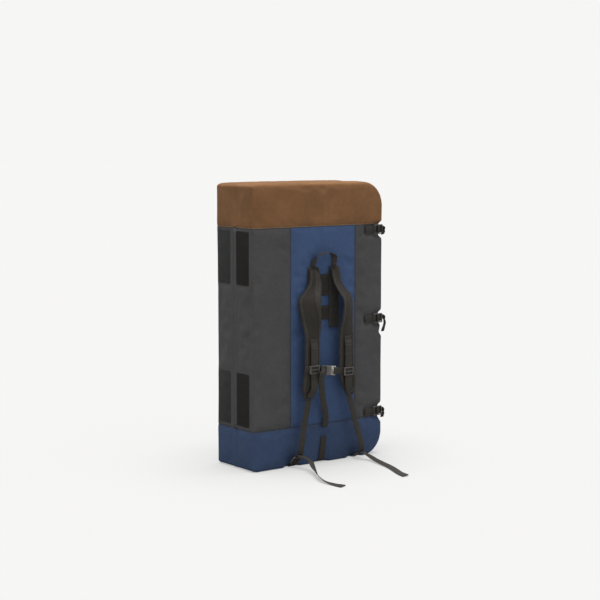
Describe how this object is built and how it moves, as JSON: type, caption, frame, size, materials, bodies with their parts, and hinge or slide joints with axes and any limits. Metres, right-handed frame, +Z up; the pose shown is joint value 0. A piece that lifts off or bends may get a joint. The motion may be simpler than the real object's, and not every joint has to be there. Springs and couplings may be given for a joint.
{
  "type": "bouldering crash pad",
  "caption": "Folding bouldering crash pad with a fabric hinge, closure buckles and a carrying harness, folded and standing on its short end.",
  "frame": {"origin": "middle of the harness half's base, on the floor", "axes": "+Z up along the folded pad's height, -Y out of the harness face, -X towards the folding hinge, +X towards the closures"},
  "size_m": [0.5971, 0.5829, 1],
  "materials": {
    "canvas_brown": "coated woven canvas, light brown",
    "canvas_grey": "coated woven canvas, dark grey",
    "canvas_blue": "coated woven canvas, slate blue",
    "boot_fabric": "heavy coated fabric, dark blue",
    "pad_fabric": "padded woven nylon, off-black",
    "webbing_black": "flat woven webbing, off-black",
    "hook_tape": "hook tape, black",
    "loop_tape": "loop tape, dark grey",
    "buckle_plastic": "moulded nylon, satin black",
    "plug_plastic": "moulded nylon, mid grey",
    "foam_dense": "closed-cell foam, charcoal",
    "foam_open": "open-cell foam, cream"
  },
  "bodies": {
    "harness_half": {"front_cap_cover": "canvas_brown", "front_sleeve_cover": "canvas_grey", "hinge_strip_front": "canvas_grey", "harness_panel": "canvas_blue", "front_boot_cover": "boot_fabric", "front_base_foam": "foam_dense", "front_landing_foam": "foam_dense", "front_core_foam": "foam_open", "hook_patch_upper": "hook_tape", "hook_patch_lower": "hook_tape", "cross_panel_upper": "pad_fabric", "cross_panel_lower": "pad_fabric", "yoke_strap_left": "webbing_black", "yoke_strap_right": "webbing_black", "lower_webbing_left": "webbing_black", "lower_webbing_right": "webbing_black", "base_anchor_left": "webbing_black", "base_anchor_right": "webbing_black", "centre_webbing": "webbing_black", "closure_tab_upper": "webbing_black", "closure_strap_upper": "webbing_black", "closure_lock_upper": "buckle_plastic", "closure_tab_middle": "webbing_black", "closure_strap_middle": "webbing_black", "closure_lock_middle": "buckle_plastic", "closure_tab_lower": "webbing_black", "closure_strap_lower": "webbing_black", "closure_lock_lower": "buckle_plastic", "base_lock_left": "buckle_plastic", "base_lock_right": "buckle_plastic"},
    "rear_half": {"rear_cap_cover": "canvas_brown", "rear_sleeve_cover": "canvas_grey", "hinge_strip_rear": "canvas_grey", "rear_boot_cover": "boot_fabric", "rear_base_foam": "foam_dense", "rear_landing_foam": "foam_dense", "rear_core_foam": "foam_open", "loop_patch_upper": "loop_tape", "loop_patch_lower": "loop_tape", "closure_anchor_upper": "webbing_black", "closure_socket_upper": "buckle_plastic", "closure_anchor_middle": "webbing_black", "closure_socket_middle": "buckle_plastic", "closure_anchor_lower": "webbing_black", "closure_socket_lower": "buckle_plastic"},
    "shoulder_harness": {"shoulder_pad_left": "pad_fabric", "shoulder_pad_right": "pad_fabric", "pad_webbing_left": "webbing_black", "pad_webbing_right": "webbing_black"},
    "chest_strap": {"chest_slider_left": "buckle_plastic", "chest_slider_right": "buckle_plastic", "chest_strap_left": "webbing_black", "chest_strap_right": "webbing_black", "chest_socket": "buckle_plastic"},
    "chest_plug_body": {"chest_plug": "plug_plastic"},
    "haul_loop_body": {"haul_loop": "webbing_black"},
    "closure_plug_upper_body": {"closure_plug_upper": "buckle_plastic"},
    "closure_plug_middle_body": {"closure_plug_middle": "buckle_plastic"},
    "closure_plug_lower_body": {"closure_plug_lower": "buckle_plastic"}
  },
  "joints": [
    {"name": "fold", "type": "hinge", "parent": "harness_half", "child": "rear_half", "pos_m": [-0.29, 0.0575, 0.5], "axis": [0, 0, 1], "range_deg": [0, 180]},
    {"name": "harness_lift", "type": "hinge", "parent": "harness_half", "child": "shoulder_harness", "pos_m": [0.015, -0.06412, 0.7], "axis": [-1, 0, 0], "range_deg": [0, 45], "deforming": ["lower_webbing_left", "lower_webbing_right"]},
    {"name": "chest_height", "type": "slide", "parent": "shoulder_harness", "child": "chest_strap", "axis": [0, 0, 1], "range_m": [-0.03, 0.04]},
    {"name": "chest_release", "type": "slide", "parent": "chest_strap", "child": "chest_plug_body", "axis": [0.9923, 0, -0.1236], "range_m": [0, 0.02], "deforming": ["chest_strap_right"]},
    {"name": "haul_loop_tilt", "type": "hinge", "parent": "harness_half", "child": "haul_loop_body", "pos_m": [0.015, -0.0565, 0.7071], "axis": [1, 0, 0], "range_deg": [-5, 60], "stiffness_Nm_per_rad": 0.03},
    {"name": "closure_release_upper", "type": "slide", "parent": "harness_half", "child": "closure_plug_upper_body", "axis": [0, -1, 0], "range_m": [0, 0.02], "deforming": ["closure_strap_upper"]},
    {"name": "closure_release_middle", "type": "slide", "parent": "harness_half", "child": "closure_plug_middle_body", "axis": [0, -1, 0], "range_m": [0, 0.02], "deforming": ["closure_strap_middle"]},
    {"name": "closure_release_lower", "type": "slide", "parent": "harness_half", "child": "closure_plug_lower_body", "axis": [0, -1, 0], "range_m": [0, 0.02], "deforming": ["closure_strap_lower"]}
  ]
}
